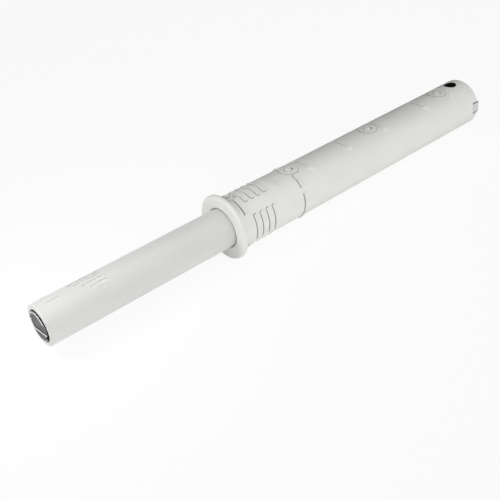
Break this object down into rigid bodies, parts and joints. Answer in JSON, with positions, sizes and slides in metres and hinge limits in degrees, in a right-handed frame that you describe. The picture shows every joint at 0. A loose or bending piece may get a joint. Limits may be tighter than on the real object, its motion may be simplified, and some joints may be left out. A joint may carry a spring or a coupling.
{
  "type": "touch latch",
  "caption": "Drill-in push-to-open latch: a white collared tube with grip barbs and a sprung, magnet-tipped plunger that slides in and latches.",
  "frame": {"origin": "on the latch axis, in the plane of the collar's rear face, which seats on the panel at the mouth of the drilled hole", "axes": "+Y along the latch axis from the plunger's tip towards the rear end, +Z towards the marked side with the top hole, +X to the side"},
  "size_m": [0.0124, 0.1052, 0.0124],
  "materials": {
    "white_plastic": "satin moulded acetal",
    "plug_plastic": "satin moulded plastic, cooler white",
    "carrier_plastic": "satin moulded plastic",
    "bright_steel": "bright",
    "pole_steel": "ground",
    "magnet": "plated, dull",
    "spring_steel": "drawn wire"
  },
  "bodies": {
    "housing": {"housing": "white_plastic", "end_plug": "plug_plastic", "track_rod": "plug_plastic", "main_spring": "spring_steel"},
    "plunger": {"plunger": "white_plastic", "magnet_cup": "bright_steel", "pole_plate_upper": "pole_steel", "pole_plate_lower": "pole_steel", "tip_magnet": "magnet", "latch_carrier": "carrier_plastic", "front_bush": "carrier_plastic", "spring_washer": "bright_steel"},
    "latch_ring": {"latch_ring": "bright_steel"}
  },
  "joints": [
    {"name": "plunger_slide", "type": "slide", "parent": "housing", "child": "plunger", "axis": [0, 1, 0], "range_m": [0, 0.037], "stiffness_N_per_m": 60, "springref_m": -0.03, "deforming": ["main_spring"]},
    {"name": "latch_turn", "type": "hinge", "parent": "plunger", "child": "latch_ring", "pos_m": [0, 0.0111, 0], "axis": [0, 1, 0], "range_deg": [0, 80]}
  ]
}
